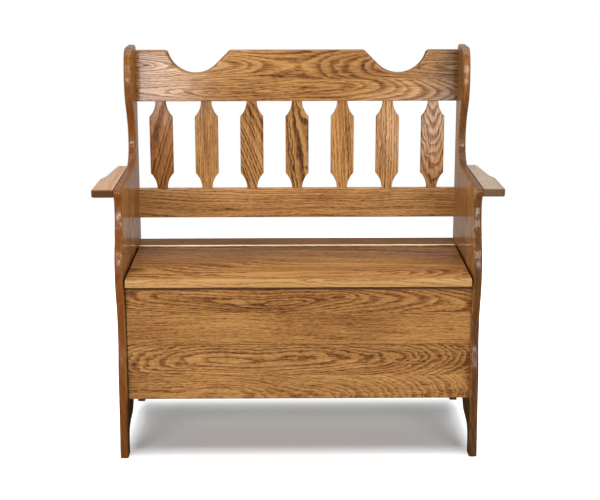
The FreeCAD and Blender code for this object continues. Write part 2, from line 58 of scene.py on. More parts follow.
# %% Place the camera
camera_place = Vector((-0.0275, -3.4480, 1.3200))
camera_pitch = 13.70
camera_yaw = 0.55
camera_roll = -0.07
lens_length = 82.8
sensor_width = 36.0

camera_data = bpy.data.cameras.new("photo_camera")
camera_data.sensor_width = sensor_width
camera_data.sensor_fit = "HORIZONTAL"
camera_data.lens = lens_length
camera = bpy.data.objects.new("photo_camera", camera_data)
bpy.context.scene.collection.objects.link(camera)
camera.location = camera_place
camera.rotation_euler = (radians(90 - camera_pitch), 0, radians(-camera_yaw))
camera.rotation_euler.rotate_axis("Z", radians(camera_roll))
bpy.context.scene.camera = camera
print("camera", tuple(round(v, 3) for v in camera.location), "lens", camera_data.lens, "mm")

# %% [markdown]
# ## Short ways to write shader nodes
# A procedural material is a small graph of nodes. Wiring each node by hand takes four lines,
# which hides the idea, so a few helpers do it. One adds a node and fills or wires its inputs.
# The others do arithmetic, mix two colours, or turn a number into a colour.

# %% Colours and nodes
def srgb(red, green, blue):
    """A colour as a picture shows it, 0 to 255, turned into linear light for a shader."""
    def linear(value):
        part = value / 255
        return part / 12.92 if part <= 0.04045 else ((part + 0.055) / 1.055) ** 2.4
    return (linear(red), linear(green), linear(blue), 1.0)


def fill(tree, socket, value):
    """Wire another node's output into a socket, or set the socket to a plain value."""
    if isinstance(value, bpy.types.NodeSocket):
        tree.links.new(value, socket)
    else:
        socket.default_value = value


def add(tree, kind, inputs=None, **settings):
    """A new node: its settings come first, because they decide which inputs it shows."""
    node = tree.nodes.new(kind)
    for name, value in settings.items():
        setattr(node, name, value)
    for name, value in (inputs or {}).items():
        fill(tree, node.inputs[name], value)
    return node


print("a mid brown of 165, 113, 65 is", [round(v, 3) for v in srgb(165, 113, 65)])

# %% Arithmetic with nodes
def calc(tree, operation, a, b=0.0, c=0.0, clamp=False):
    node = add(tree, "ShaderNodeMath", {0: a, 1: b, 2: c}, operation=operation, use_clamp=clamp)
    return node.outputs[0]


def slope(tree, value, factor, start, clamp=True):
    """A straight line through the value: value times factor plus start, kept from 0 to 1."""
    return calc(tree, "MULTIPLY_ADD", value, factor, start, clamp=clamp)


def less(tree, value, amount):
    """A gain that is 1 where the value is 0, and falls by the amount where the value is 1."""
    return calc(tree, "MULTIPLY_ADD", value, -amount, 1.0)


def vector_calc(tree, operation, a, b=(0, 0, 0)):
    node = add(tree, "ShaderNodeVectorMath", {0: a, 1: b}, operation=operation)
    return node.outputs["Value" if operation in ("DOT_PRODUCT", "LENGTH") else "Vector"]


def scaled(tree, vector, factor):
    node = add(tree, "ShaderNodeVectorMath", {0: vector, "Scale": factor}, operation="SCALE")
    return node.outputs[0]


print("arithmetic helpers ready: calc, slope, less, vector_calc, scaled")

# %% Points, colours and noise
def separated(tree, vector):
    return add(tree, "ShaderNodeSeparateXYZ", {0: vector}).outputs


def combined(tree, x, y, z=0.0):
    return add(tree, "ShaderNodeCombineXYZ", {"X": x, "Y": y, "Z": z}).outputs[0]


def mix_colour(tree, factor, a, b, blend="MIX"):
    node = add(tree, "ShaderNodeMix", data_type="RGBA", blend_type=blend)
    for index, value in ((0, factor), (6, a), (7, b)):
        fill(tree, node.inputs[index], value)
    return node.outputs[2]


def ramp(tree, factor, stops):
    """A curve from stops: each names a place from 0 to 1, and a grey or a colour there."""
    node = add(tree, "ShaderNodeValToRGB", {"Fac": factor})
    points = node.color_ramp.elements
    while len(points) < len(stops):
        points.new(0.5)
    for point, (place, colour) in zip(points, stops):
        point.position = place
        point.color = colour if isinstance(colour, tuple) else (colour, colour, colour, 1)
    return node.outputs["Color"]


def noise(tree, vector, detail, roughness=0.5, scale=1.0):
    node = add(tree, "ShaderNodeTexNoise",
               {"Vector": vector, "Scale": scale, "Detail": detail, "Roughness": roughness})
    return node.outputs


print("colour helpers ready: mix_colour, ramp, noise")

# %% [markdown]
# ## Oak, grown rather than painted
# The bold arches on a board's face are tree rings cut at a shallow angle. An image of wood
# would repeat and would not match at the edges, so the grain here is solid: every point of the
# board asks how far it lies from the heart of a tree trunk. A trunk is never straight, so the
# heart may lean and bow along the board: a lean makes the arches point one way, and a bow
# makes them close at both ends.
#
# The point is given in the board's own directions: along the grain, across the face, and into
# the thickness. A slow noise sways it and a quick one makes the small zigzags of oak. A knot
# pushes the rings aside around it.

# %% Distance from the heart
def distance_from_heart(group, given, streaks):
    def sway(along, across, amount, detail):
        field = streaks(along, across, detail)["Color"]
        centred = vector_calc(group, "SUBTRACT", field, (0.5, 0.5, 0.5))
        return scaled(group, centred, amount)

    bent = vector_calc(group, "ADD", given["Grain"], sway(2.4, 7.0, given["Wander"], 1.0))
    calm = streaks(5.0, 14.0, 1.0)["Fac"]
    calm = ramp(group, calm, [(0.0, 0.15), (0.40, 0.35), (0.62, 1.6), (1.0, 1.6)])
    zigzag = calc(group, "MULTIPLY", given["Ripple"], calm)
    bent = vector_calc(group, "ADD", bent, sway(38.0, 70.0, zigzag, 2.0))

    from_heart = vector_calc(group, "SUBTRACT", bent, given["Heart"])
    along = separated(group, given["Grain"])[0]
    along_squared = calc(group, "MULTIPLY", along, along)
    from_heart = vector_calc(group, "ADD", from_heart, scaled(group, given["Lean"], along))
    from_heart = vector_calc(group, "ADD", from_heart, scaled(group, given["Bow"], along_squared))
    flat = vector_calc(group, "MULTIPLY", from_heart, (0, 1, 1))
    distance = vector_calc(group, "LENGTH", flat)

    knot = separated(group, given["Knot"])
    from_knot = vector_calc(group, "SUBTRACT", bent, combined(group, knot["X"], knot["Y"]))
    from_knot = vector_calc(group, "MULTIPLY", from_knot, (28.0, 75.0, 0.0))
    spread = vector_calc(group, "DOT_PRODUCT", from_knot, from_knot)
    push = calc(group, "EXPONENT", calc(group, "MULTIPLY", spread, -1.0))
    return calc(group, "MULTIPLY_ADD", push, knot["Z"], distance)


print("ring distance helper ready")

# %% [markdown]
# ## Years, fibres and pores
# The distance is divided into rings. Some years are wide and some narrow, so a noise along the
# distance stretches them. In each ring the spring wood is porous and the summer wood dense, and
# only the spring wood shows as a dark line after staining. A shader group holds all this, so
# that every board can share it and only its own numbers differ.

# %% The ring pattern
def year_rings(group, given, distance):
    years = calc(group, "DIVIDE", distance, given["Ring"])
    year_noise = add(group, "ShaderNodeTexNoise", {"W": calc(group, "MULTIPLY", years, 0.45),
                     "Scale": 1.0, "Detail": 1.0}, noise_dimensions="1D").outputs["Fac"]
    uneven = calc(group, "MULTIPLY_ADD", year_noise, 1.8, years)
    phase = calc(group, "FRACT", uneven)
    return ramp(group, phase, [(0.0, 0.55), (0.08, 1.0), (0.30, 0.85), (0.52, 0.30), (0.72, 0.06),
                               (0.94, 0.0), (1.0, 0.55)])


def make_oak_group():
    group = bpy.data.node_groups.new("oak_rings", "ShaderNodeTree")
    inputs = [(name, "Vector") for name in ("Grain", "Heart", "Lean", "Bow", "Knot")]
    inputs += [(name, "Float") for name in ("Ring", "Wander", "Ripple", "Seed")]
    for name, kind in inputs:
        group.interface.new_socket(name, in_out="INPUT", socket_type="NodeSocket" + kind)
    for name in ("Early", "Fibre", "Pore", "Tone", "Fleck"):
        group.interface.new_socket(name, in_out="OUTPUT", socket_type="NodeSocketFloat")
    given = group.nodes.new("NodeGroupInput").outputs
    out = group.nodes.new("NodeGroupOutput").inputs
    seed_shift = combined(group, given["Seed"], given["Seed"])

    def streaks(along, across, detail, roughness=0.5):
        """Noise drawn out along the grain: the larger the two numbers, the finer it is."""
        point = vector_calc(group, "MULTIPLY", given["Grain"], (along, across, across))
        return noise(group, vector_calc(group, "ADD", point, seed_shift), detail, roughness)

    early = year_rings(group, given, distance_from_heart(group, given, streaks))
    broken = ramp(group, streaks(30.0, 260.0, 2.0, 0.6)["Fac"],
                  [(0.0, 0.50), (0.36, 0.55), (0.60, 1.0), (1.0, 1.0)])
    fill(group, out["Early"], calc(group, "MULTIPLY", early, broken))
    open_pore = ramp(group, streaks(60.0, 620.0, 1.5, 0.6)["Fac"],
                     [(0.0, 0.0), (0.50, 0.0), (0.62, 1.0), (1.0, 1.0)])
    pore_mask = calc(group, "MULTIPLY_ADD", early, 0.7, 0.3)
    fill(group, out["Pore"], calc(group, "MULTIPLY", open_pore, pore_mask))
    fill(group, out["Fibre"], streaks(11.0, 190.0, 3.0, 0.62)["Fac"])
    fill(group, out["Tone"], streaks(3.2, 16.0, 2.0)["Fac"])
    fill(group, out["Fleck"], streaks(75.0, 300.0, 2.0, 0.65)["Fac"])
    return group


oak_group = make_oak_group()
print("oak group holds", len(oak_group.nodes), "nodes")

# %% [markdown]
# ## From rings to a stained board
# Oak takes stain unevenly. The open pores of the early wood drink it and turn dark, the dense
# late wood stays golden, end grain goes darkest of all, and rounded edges are rubbed a little
# deeper. So the material needs a few browns, and the usual look of a board from which each
# single board may differ.

# %% Stains and the usual board
STAIN = {
    # cream is used on the lid's edges as a painted highlight
    "cream": srgb(214, 176, 122),
    "pale": srgb(202, 152, 90),
    "gold": srgb(170, 119, 64),
    "brown": srgb(130, 82, 38),
    "rim": srgb(116, 67, 28),
    "russet": srgb(126, 66, 22),
    "deep": srgb(72, 41, 18),
}
USUAL_BOARD = {
    "lean": (0.0, 0.0),         # how far the heart moves across and into the board, per metre
    "bow": (0.0, 0.0),          # how it curves away from the board's middle
    "ring": 0.0032,             # width of a year
    "wander": 0.012,            # slow sway of the rings
    "ripple": 0.006,            # quick zigzag of the rings
    "knot": (0.0, 0.0, 0.0),    # its place along and across, and how far it pushes the rings
    "joints": (),               # of each glued joint: its place, the jump below it, a gain
    "seed": 0.0,
    "contrast": 1.0,            # darkness of the early wood
    "quiet": 1.0,               # strength of fibres, pores, flecks and cloudy tone
    "speckle": 0.6,
    "shift": 0.0,               # more or less stain all over
    # on the lid, fade is partly painted shade of the backrest
    "fade": 0.0,                # more stain toward one long edge
    "tint": (1.0, 1.0, 1.0),
    "edge_colour": "brown",
    # on the side panels the upper edge colour is a painted light
    "edge_high": None,          # edge colour of the upper part, where it differs
    "edge_calm": 0.5,           # how much an edge hides the grain
    "edge_worn": 0.75,          # how dull the low part of an edge is
    "end_stain": 0.8,
    "end_dull": 0.9,
    "seam": 0.0,                # dark line along the long edges
    # the next five settings paint shade, light and a gap's shadow into the colour
    "under_lid": 0.0,           # depth of the dark strip below the lid's overhang
    "lighter_up": 0.0,
    "inner_shade": 0.0,
    "end_shade": None,          # where a darkening along the board starts, ends, and how much
    # whether a near-black band is painted as shadow in the gap beside the lid
    "beside_lid": False,
    "lacquer": 0.8,
    "edge_lacquer": 0.36,
}
print("stains:", ", ".join(STAIN), "- board settings:", len(USUAL_BOARD))

# %% [markdown]
# ## Read a board
# Each board was sawn in another direction, so the script first turns the point into the
# board's own directions, and notes how far the surface is an edge or a cut end. A wide board
# is glued up from narrow strips. Here a strip is nothing but a jump: below a joint the point
# is moved to another place in the tree, so the rings break off at the joint as real ones do.

# %% Points on a board
DIRECTIONS = {
    # which way the board's own axes run: along the grain, across the face, into the thickness
    "rail": ("X", "Z", "Y"),
    "seat": ("X", "Y", "Z"),
    "slat": ("Z", "X", "Y"),
    "side": ("Z", "Y", "X"),
    "arm": ("Y", "X", "Z"),
}
face_figure = 0.62


def board_point(tree, node_name, cut):
    """The point in the board's own directions, measured from the board's middle."""
    low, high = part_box(node_name)
    place = add(tree, "ShaderNodeTexCoord").outputs["Object"]
    place = vector_calc(tree, "SUBTRACT", place, tuple((low + high) / 2))
    parts = separated(tree, place)
    along, across, depth = DIRECTIONS[cut]
    return combined(tree, parts[along], parts[across], parts[depth])


def read_board(tree, node_name, cut, heart, look):
    """Everything the finish needs to know about one point of the board's surface."""
    grain = board_point(tree, node_name, cut)
    parts = separated(tree, grain)
    sawn_point, figure = grain, face_figure * look["contrast"]
    for joint, jump, strength in look["joints"]:
        below = calc(tree, "LESS_THAN", parts["Y"], joint)
        sawn_point = vector_calc(tree, "ADD", sawn_point, scaled(tree, jump, below))
        figure = calc(tree, "MULTIPLY", figure, less(tree, below, 1.0 - strength))
    rings = add(tree, "ShaderNodeGroup", node_tree=oak_group)
    tree.links.new(sawn_point, rings.inputs["Grain"])
    for name, (across, depth) in (("Heart", heart), ("Lean", look["lean"]), ("Bow", look["bow"])):
        rings.inputs[name].default_value = (0.0, across, depth)
    for name in ("knot", "ring", "wander", "ripple", "seed"):
        rings.inputs[name.capitalize()].default_value = look[name]
    facing = separated(tree, add(tree, "ShaderNodeTexCoord").outputs["Normal"])
    along, across, depth = DIRECTIONS[cut]
    face_on = calc(tree, "MULTIPLY", facing[depth], facing[depth])
    return SimpleNamespace(
        name=node_name, box=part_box(node_name), along=parts["X"], across=parts["Y"], facing=facing,
        narrow=calc(tree, "SUBTRACT", 1.0, face_on), figure=figure,
        end=calc(tree, "POWER", calc(tree, "ABSOLUTE", facing[along]), 2.0),
        early=rings.outputs["Early"], fibre=rings.outputs["Fibre"], pore=rings.outputs["Pore"],
        tone=rings.outputs["Tone"], fleck=rings.outputs["Fleck"])


print("directions known:", sorted(DIRECTIONS))

# %% [markdown]
# ## Stain on the face, the edges and the cut ends
# One number says how much stain the wood took at a point, and a ramp turns it into a brown.
# Narrow edges show calmer lines than the face. The curved edges of the side panels change from
# one brown below to another above, with fibre lines between; the lighter colour toward the ears
# is painted light. The level part beside the arm is rubbed paler by sleeves. Stain also settles
# in the glue joint along a board's long edge.

# %% Stain
def stained_face(tree, board, look):
    def around_middle(value):
        return calc(tree, "SUBTRACT", value, 0.5)

    quiet = look["quiet"]
    stain = calc(tree, "MULTIPLY_ADD", board.early, board.figure, 0.16 + look["shift"])
    stain = calc(tree, "MULTIPLY_ADD", around_middle(board.fibre), 0.90 * quiet, stain)
    stain = calc(tree, "MULTIPLY_ADD", around_middle(board.fleck), look["speckle"] * quiet, stain)
    stain = calc(tree, "MULTIPLY_ADD", around_middle(board.tone), 0.75 * quiet, stain)
    if look["fade"]:
        stain = calc(tree, "MULTIPLY_ADD", board.across, look["fade"], stain)
    stain = calc(tree, "MULTIPLY_ADD", board.pore, 0.40 * quiet, stain, clamp=True)
    return ramp(tree, stain, [(0.0, STAIN["pale"]), (0.30, STAIN["gold"]),
                              (0.65, STAIN["brown"]), (1.0, STAIN["deep"])])


def arm_height(tree, board):
    """1 up to the arm and 0 on the ear above it."""
    return slope(tree, board.along, -8.0, 2.6)


def stained_edges(tree, board, look, colour):
    edge_paint = STAIN[look["edge_colour"]]
    end_soak = calc(tree, "MULTIPLY", board.end, look["end_stain"])
    if look["edge_high"]:
        # Painted light: toward the ears the edges take another brown with paler fibre lines, standing in
        # for the stronger light there.
        rise = slope(tree, board.along, 8.0, -2.3)
        edge_paint = mix_colour(tree, rise, edge_paint, STAIN[look["edge_high"]])
        line = ramp(tree, board.fibre, [(0.0, 0.0), (0.46, 0.0), (0.58, 0.65), (1.0, 0.65)])
        line_paint = mix_colour(tree, rise, STAIN["rim"], STAIN["gold"])
        edge_paint = mix_colour(tree, line, edge_paint, line_paint)
        end_soak = calc(tree, "MULTIPLY", end_soak, less(tree, arm_height(tree, board), 0.6))
    edge_share = calc(tree, "MULTIPLY", board.narrow, look["edge_calm"], clamp=True)
    colour = mix_colour(tree, edge_share, colour, edge_paint)
    colour = mix_colour(tree, end_soak, colour, STAIN["deep"])
    if look["seam"]:
        low, high = board.box
        half = max(high[2] - low[2], high[1] - low[1]) / 2
        seam_depth = 0.0025
        offset = calc(tree, "ABSOLUTE", board.across)
        inside = slope(tree, calc(tree, "SUBTRACT", offset, half - seam_depth), 1 / seam_depth, 0.0)
        colour = mix_colour(tree, calc(tree, "MULTIPLY", inside, look["seam"]), colour, STAIN["deep"])
    return colour


print("stain helpers ready")

# %% [markdown]
# ## Painted shade and light
# Some darker places that the lamps here don't give are painted into the colour as shade: the
# strip below the lid's overhang, the sides' inner faces beside the crest rail and below the box,
# the crest's right end, and the left end of the front boards, where they meet the side. Most are
# a gentle gain, and the sides are also painted lighter toward the top. The lid's ends leave a
# black gap beside the sides, and a near-black band is painted there as the gap's shadow.

# %% Painted shade and light
def shaded(tree, board, look, colour):
    # Painted shadow: a dark strip on the front board just below the lid's overhang.
    if look["under_lid"]:
        low, high = board.box
        lid_shadow = (high[2] - low[2]) / 2 - look["under_lid"]
        overhang_shadow = slope(tree, board.across, 300.0, -300.0 * lid_shadow)
        colour = mix_colour(tree, calc(tree, "MULTIPLY", overhang_shadow, 0.85), colour, STAIN["deep"])
    # Painted light: the board grows lighter toward its top, the side panels toward their ears.
    if look["lighter_up"]:
        gain = slope(tree, board.along, look["lighter_up"], 1.0, clamp=False)
        colour = scaled(tree, colour, gain)
    # Painted shade on the sides' inner faces beside the crest rail, and painted shadow at half strength
    # on the feet below the box.
    if look["inner_shade"]:
        toward_middle = -1.0 if board.box[0][0] > 0 else 1.0
        inward = calc(tree, "MULTIPLY", board.facing["X"], toward_middle, clamp=True)
        beside_crest = slope(tree, board.along, 16.0, -5.2)
        below_box = calc(tree, "MULTIPLY", slope(tree, board.along, -40.0, -40.0 * 0.335), 0.5)
        shade = calc(tree, "MULTIPLY_ADD", beside_crest, look["inner_shade"], below_box)
        colour = scaled(tree, colour, less(tree, calc(tree, "MULTIPLY", inward, shade), 1.0))
    # Painted shade toward one end: the crest rail's right end beside the side, and the front boards' left
    # end, where they meet the side.
    if look["end_shade"]:
        start, stop, amount = look["end_shade"]
        reach = slope(tree, board.along, 1 / (stop - start), -start / (stop - start))
        colour = scaled(tree, colour, less(tree, reach, amount))
    return colour


def lid_gap_shadow(tree):
    """Painted shadow in the gap beside the lid: 1 on the sides' inner faces along the top 10 mm of the
    gap, 0 elsewhere.
    """
    low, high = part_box("lid_panel")
    spot = separated(tree, add(tree, "ShaderNodeTexCoord").outputs["Object"])
    from_lid = calc(tree, "SUBTRACT", high[0] + 0.006, calc(tree, "ABSOLUTE", spot["X"]))
    gap_shade = calc(tree, "MULTIPLY", from_lid, 1000.0, clamp=True)
    sharpness = 2000.0
    for axis, start, stop in (("Z", high[2] - 0.011, high[2] - 0.0008),
                              ("Y", low[1] + 0.004, high[1] + 0.002)):
        over = slope(tree, spot[axis], sharpness, -sharpness * start)
        under = slope(tree, spot[axis], -sharpness, sharpness * stop)
        gap_shade = calc(tree, "MULTIPLY", gap_shade, calc(tree, "MULTIPLY", over, under))
    return gap_shade


# %% [markdown]
# ## Lacquer
# Over the stain lies a clear satin lacquer, which is the coat layer of the shader. It reflects
# weakly from the front and strongly at a glancing angle, as on the inner faces of the sides.
# It is thinner over the early wood, at cut ends and on the low, worn part of the curved edges.
# The bump is small, because the lacquer fills all but the deepest pores.

# %% Lacquer
def lacquered(tree, board, look, gap_shade, shader):
    lacquer = look["lacquer"]
    gloss = calc(tree, "MULTIPLY_ADD", board.fibre, 0.12, 0.36)
    fill(tree, shader.inputs["Roughness"], calc(tree, "MULTIPLY_ADD", board.pore, 0.15, gloss))
    coat = calc(tree, "MULTIPLY_ADD", board.narrow, look["edge_lacquer"] - lacquer, lacquer)
    if look["edge_high"]:
        low_edge = calc(tree, "MULTIPLY", board.narrow, slope(tree, board.along, -4.0, 0.2))
        rubbed = calc(tree, "MULTIPLY", board.end, arm_height(tree, board))
        coat = calc(tree, "MULTIPLY", coat, less(tree, low_edge, look["edge_worn"]))
        coat = calc(tree, "MULTIPLY", coat, less(tree, rubbed, 0.75))
    for wear, amount in ((board.end, look["end_dull"]), (board.early, 0.8)):
        coat = calc(tree, "MULTIPLY", coat, slope(tree, wear, -amount, 1.0))
    # no lacquer over the painted shadow in the gap beside the lid
    if gap_shade is not None:
        coat = calc(tree, "MULTIPLY", coat, calc(tree, "SUBTRACT", 1.0, gap_shade))
    fill(tree, shader.inputs["Coat Weight"], coat)
    shader.inputs["Coat Roughness"].default_value = 0.14
    shader.inputs["Coat IOR"].default_value = 1.5
    shader.inputs["Specular IOR Level"].default_value = 0.15 * lacquer
    height = calc(tree, "MULTIPLY_ADD", board.pore, -1.0, calc(tree, "MULTIPLY", board.fibre, 0.35))
    bump = add(tree, "ShaderNodeBump", {"Height": height, "Strength": 0.35, "Distance": 0.0002})
    fill(tree, shader.inputs["Normal"], bump.outputs["Normal"])


print("lacquer helper ready")

# %% [markdown]
# ## One material for one board
# Now the steps are put together: read the board, stain its face and edges, paint its shade and
# light, paint the shadow in the gap beside the lid where it needs one, and lacquer it. Every board
# gets its own material, because every board was sawn from another place.

# %% Stained oak for one board
def new_material(name):
    material = bpy.data.materials.new(name)
    material.use_nodes = True
    return material, material.node_tree, material.node_tree.nodes["Principled BSDF"]


def stained_oak(node_name, cut, heart, **own_look):
    look = {**USUAL_BOARD, **own_look}
    material, tree, shader = new_material("oak_" + node_name)
    board = read_board(tree, node_name, cut, heart, look)
    colour = stained_face(tree, board, look)
    colour = stained_edges(tree, board, look, colour)
    colour = mix_colour(tree, 1.0, colour, (*look["tint"], 1.0), "MULTIPLY")
    colour = shaded(tree, board, look, colour)
    # Painted shadow in the gap beside the lid: a near-black band on the sides.
    gap_shade = lid_gap_shadow(tree) if look["beside_lid"] else None
    if gap_shade is not None:
        colour = mix_colour(tree, calc(tree, "MULTIPLY", gap_shade, 0.93), colour, (0.004, 0.003, 0.002, 1))
    fill(tree, shader.inputs["Base Color"], colour)
    lacquered(tree, board, look, gap_shade, shader)
    return material


def dress(node_name, material):
    slots = nodes[node_name].data.materials
    slots.clear()
    slots.append(material)


print("ready to dress", len(nodes), "nodes")

# %% [markdown]
# ## The back: crest rail, lower rail and seven slats
# Each board was sawn from another place in a tree, so each has its own heart, lean and ring
# width. The heart close behind the face gives wide arches, and the heart far off to one side
# gives straight lines. The crest rail is glued up from two strips: its bowed heart closes the
# arches of the upper strip between the scoops.

# %% Rails
dress("crest_rail", stained_oak(
    "crest_rail", "rail", heart=(0.024, 0.026), lean=(0.01, 0.0), bow=(0.0, 0.15), ring=0.0050,
    wander=0.060, ripple=0.003, seed=3.1, shift=-0.02, edge_colour="rim", edge_calm=0.9,
    contrast=0.8, joints=((-0.010, (0.05, 0.063, 0.046), 0.85),), end_shade=(0.32, 0.42, 0.5)))
dress("lower_back_rail", stained_oak(
    "lower_back_rail", "rail", heart=(-0.12, 0.060), lean=(0.02, 0.01), ring=0.0042,
    wander=0.030, ripple=0.004, contrast=0.8, seed=11.7, shift=-0.13, tint=(1.05, 1.06, 1.12)))
print("rails dressed")

# %% Slats
SLATS = {
    "slat_1": dict(heart=(-0.06, 0.10), lean=(-0.30, 0.0), ring=0.0075, ripple=0.003,
                   contrast=0.7, tint=(0.74, 0.62, 0.50), seed=21.0, lacquer=0.5),
    "slat_2": dict(heart=(0.30, 0.03), lean=(0.02, 0.0), ring=0.0042, contrast=0.5, seed=32.0,
                   tint=(1.02, 1.02, 1.0)),
    "slat_3": dict(heart=(0.07, 0.08), lean=(0.34, 0.05), ring=0.0062, ripple=0.004,
                   contrast=1.1, seed=43.0, shift=-0.04),
    "slat_4": dict(heart=(0.035, 0.075), lean=(0.05, 0.02), ring=0.0060, contrast=1.4,
                   wander=0.030, seed=54.0, shift=-0.05),
    "slat_5": dict(heart=(0.10, 0.09), lean=(0.05, 0.0), ring=0.0066, contrast=0.6, shift=-0.06,
                   tint=(1.05, 1.04, 1.0), seed=65.0),
    "slat_6": dict(heart=(0.075, 0.07), lean=(-0.03, 0.02), ring=0.0050, contrast=0.8,
                   shift=-0.12, tint=(1.06, 1.06, 1.04), seed=76.0),
    "slat_7": dict(heart=(0.004, 0.035), lean=(0.02, 0.17), ring=0.0052, contrast=0.85,
                   shift=-0.04, tint=(1.03, 1.04, 1.02), seed=87.0),
}
for name, own_look in SLATS.items():
    dress(name, stained_oak(name, "slat", **own_look))
print("slats dressed:", len(SLATS))

# %% [markdown]
# ## The seat, the front and the arms
# The lid and the front boards are wide flat-sawn boards with broad arches. The two front
# boards come from different trees and are glued up from two strips each, which is how the
# glue lines can be told. The arms lie level and mirror the bright backdrop, so their grain is
# kept quiet.

# %% Seat
# The lid is darker toward the back: partly painted shade of the backrest, partly the wood's own tone. The
# pale cream of its edges stands in for the light on its top-lit front edge, a painted highlight.
dress("lid_panel", stained_oak(
    "lid_panel", "seat", heart=(-0.11, -0.10), lean=(0.02, 0.06), ring=0.0085, wander=0.070,
    tint=(0.80, 0.77, 0.75), seed=101.0, lacquer=0.16, edge_colour="cream", edge_calm=0.30,
    edge_lacquer=0.9, fade=1.4, shift=-0.03))
dress("rear_seat_board", stained_oak(
    "rear_seat_board", "seat", heart=(0.16, -0.05), lean=(0.0, 0.02), ring=0.0042,
    contrast=0.6, tint=(0.50, 0.45, 0.45), seed=113.0, lacquer=0.1))
print("seat dressed")

# %% Front boards and arms
left_end_shade = (-0.4215, -0.4235, 0.8)
dress("front_board_upper", stained_oak(
    "front_board_upper", "rail", heart=(0.036, -0.004), lean=(0.03, -0.095), ring=0.0052,
    wander=0.060, ripple=0.004, contrast=0.85, seed=127.0, seam=0.6, speckle=1.0,
    joints=((0.004, (0.31, 0.16, 0.03), 0.45),), under_lid=0.0165, tint=(0.78, 0.73, 0.66),
    knot=(0.108, 0.040, -0.011), end_shade=left_end_shade))
dress("front_board_lower", stained_oak(
    "front_board_lower", "rail", heart=(0.030, -0.020), lean=(0.0, 0.045), bow=(0.0, 0.25),
    joints=((-0.009, (0.20, 0.105, 0.020), 0.65),), ring=0.0050, wander=0.050, ripple=0.006,
    contrast=0.85, seed=139.0, seam=0.6, speckle=0.9, tint=(0.84, 0.82, 0.80),
    end_shade=left_end_shade))
ARMS = {
    "arm_left": dict(seed=151.0, end_stain=0.86, tint=(0.94, 0.88, 0.82)),
    # the right arm's cool, blue-grey tint stands in for the grey sheen on its top: a painted sheen
    "arm_right": dict(seed=163.0, end_stain=0.37, tint=(0.66, 0.86, 1.60)),
}
for name, own_look in ARMS.items():
    dress(name, stained_oak(
        name, "arm", heart=(0.10, -0.09), lean=(0.04, 0.02), ring=0.0042, contrast=0.25,
        edge_calm=0.7, quiet=0.45, lacquer=0.95, **own_look))
print("front boards and arms dressed:", 2 + len(ARMS))

# %% [markdown]
# ## The side panels
# The grain of a side stands upright, so the foot and the ear are strong along their length.
# Its curved front edge crosses the fibres here and there, and that is where the stain darkens.
# The left edge is redder and the right one darker, as in the photo.

# %% Side panels
SIDES = {
    "side_panel_left": dict(heart=(0.04, 0.10), edge_colour="russet", tint=(0.88, 0.83, 0.64),
                            seed=175.0, inner_shade=0.15, edge_worn=0.92),
    # the right side's paler, less yellow tint stands in partly for the stronger sheen on its inner face:
    # a painted sheen
    "side_panel_right": dict(heart=(-0.05, 0.10), edge_colour="deep", tint=(0.95, 0.92, 0.84),
                             seed=187.0, inner_shade=0.45, edge_worn=0.32),
}
for name, own_look in SIDES.items():
    # The lighter-up gain and the upper edge colour make the sides lighter toward the ears, a painted
    # light; the inner shade paints shade on the inner faces, and a near-black band is painted as shadow
    # in the gap beside the lid.
    dress(name, stained_oak(
        name, "side", lean=(0.03, 0.03), ring=0.0046, wander=0.040, contrast=0.8,
        edge_high="rim", edge_calm=0.88, edge_lacquer=1.0, end_dull=0.5, lighter_up=0.5,
        beside_lid=True, **own_look))
print("sides dressed:", len(SIDES))

# %% [markdown]
# ## Inside the box
# Nobody stains the inside of a chest as carefully as its front. The battens, cleats and glue
# blocks are planed softwood, the floor and the back are oak-faced plywood, and dowels are
# pale beech. They use the same rings with other colours and no thick lacquer.

# %% Plain woods
def plain_wood(name, sample, cut, pale, dark, ring, gloss, seed):
    material, tree, shader = new_material(name)
    rings = add(tree, "ShaderNodeGroup", node_tree=oak_group)
    tree.links.new(board_point(tree, sample, cut), rings.inputs["Grain"])
    for key, value in (("Heart", (0.0, 0.05, 0.11)), ("Lean", (0.0, 0.01, 0.03)), ("Ring", ring),
                       ("Wander", 0.02), ("Ripple", 0.0015), ("Seed", seed)):
        rings.inputs[key].default_value = value
    early, fibre, fleck = (rings.outputs[key] for key in ("Early", "Fibre", "Fleck"))
    amount = calc(tree, "MULTIPLY_ADD", early, 0.45, calc(tree, "MULTIPLY", fibre, 0.5), clamp=True)
    fill(tree, shader.inputs["Base Color"], mix_colour(tree, amount, pale, dark))
    fill(tree, shader.inputs["Roughness"], calc(tree, "MULTIPLY_ADD", fleck, 0.2, gloss))
    bump = add(tree, "ShaderNodeBump", {"Height": fibre, "Strength": 0.2, "Distance": 0.0003})
    fill(tree, shader.inputs["Normal"], bump.outputs["Normal"])
    return material


def softwood_cut(name):
    """How a softwood piece was sawn and its seed, or None for any other piece."""
    if "screws" in name:
        return None
    if "cleat" in name:
        cut = "rail" if name in ("bottom_cleat_front", "bottom_cleat_back") else "arm"
        return cut, 200.0
    if "corner_block" in name:
        return "slat", 220.0
    if "lid_batten" in name:
        return "arm", 240.0
    return None


print("softwood pieces:", sum(1 for name in nodes if softwood_cut(name)))

